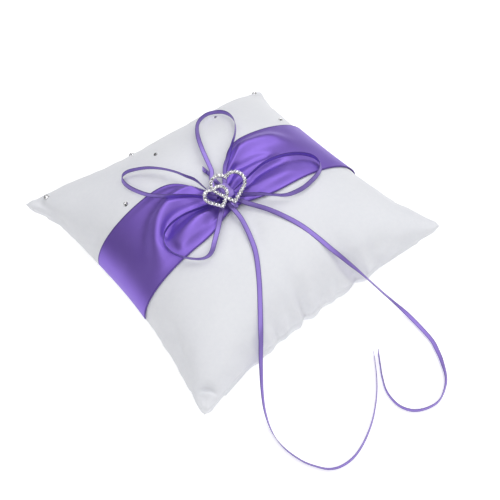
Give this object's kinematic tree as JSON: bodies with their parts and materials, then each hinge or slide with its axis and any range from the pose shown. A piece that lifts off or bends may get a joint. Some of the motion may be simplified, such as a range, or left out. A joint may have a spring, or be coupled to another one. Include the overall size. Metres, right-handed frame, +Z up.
{
  "type": "ring bearer pillow",
  "caption": "Square stuffed satin ring bearer pillow with a gathered wide band, a double ribbon bow with two long tails, a double-heart rhinestone brooch and scattered rhinestones.",
  "frame": {"origin": "on the table under the middle of the pillow", "axes": "+Z up, +X along the wide band, -Y towards the front side where the ribbon tails hang over"},
  "size_m": [0.2, 0.2779, 0.0745],
  "materials": {
    "white_satin": "matt white polyester satin",
    "fibre": "loose white polyester fibre",
    "purple_satin": "purple single-face satin, soft sheen",
    "purple_ribbon": "narrow purple satin ribbon with woven edges",
    "silver_metal": "polished silver-tone cast metal",
    "crystal": "clear cut rhinestone with foiled back"
  },
  "bodies": {
    "root": {"cover_top": "white_satin", "cover_bottom": "white_satin", "fibre_filling": "fibre", "wide_band": "purple_satin", "waist_tie": "purple_ribbon", "bow_knot": "purple_ribbon", "bow_loop_back": "purple_ribbon", "bow_loop_left": "purple_ribbon", "bow_loop_right": "purple_ribbon", "bow_loop_front": "purple_ribbon", "ribbon_tail_front": "purple_ribbon", "ribbon_tail_right": "purple_ribbon", "ribbon_end_knot_back": "purple_ribbon", "ribbon_end_knot_left": "purple_ribbon", "double_heart_frame": "silver_metal", "small_heart_stones_a": "crystal", "small_heart_stones_b": "crystal", "large_heart_stone_01": "crystal", "large_heart_stone_02": "crystal", "large_heart_stone_03": "crystal", "large_heart_stone_04": "crystal", "large_heart_stone_05": "crystal", "large_heart_stone_06": "crystal", "large_heart_stone_07": "crystal", "large_heart_stone_08": "crystal", "large_heart_stone_09": "crystal", "large_heart_stone_10": "crystal", "large_heart_stone_11": "crystal", "large_heart_stone_12": "crystal", "large_heart_stone_13": "crystal", "large_heart_stone_14": "crystal", "large_heart_stone_15": "crystal", "large_heart_stone_16": "crystal", "large_heart_stone_17": "crystal", "large_heart_stone_18": "crystal", "large_heart_stone_19": "crystal", "large_heart_stone_20": "crystal", "large_heart_stone_21": "crystal", "large_heart_stone_22": "crystal", "large_heart_stone_23": "crystal", "large_heart_stone_24": "crystal", "large_heart_stone_25": "crystal", "large_heart_stone_26": "crystal", "large_heart_stone_27": "crystal", "large_heart_stone_28": "crystal", "large_heart_stone_29": "crystal", "large_heart_stone_30": "crystal", "pillow_stone_1": "crystal", "pillow_stone_2": "crystal", "pillow_stone_3": "crystal", "pillow_stone_4": "crystal", "pillow_stone_5": "crystal", "pillow_stone_6": "crystal", "pillow_stone_7": "crystal"}
  },
  "joints": []
}
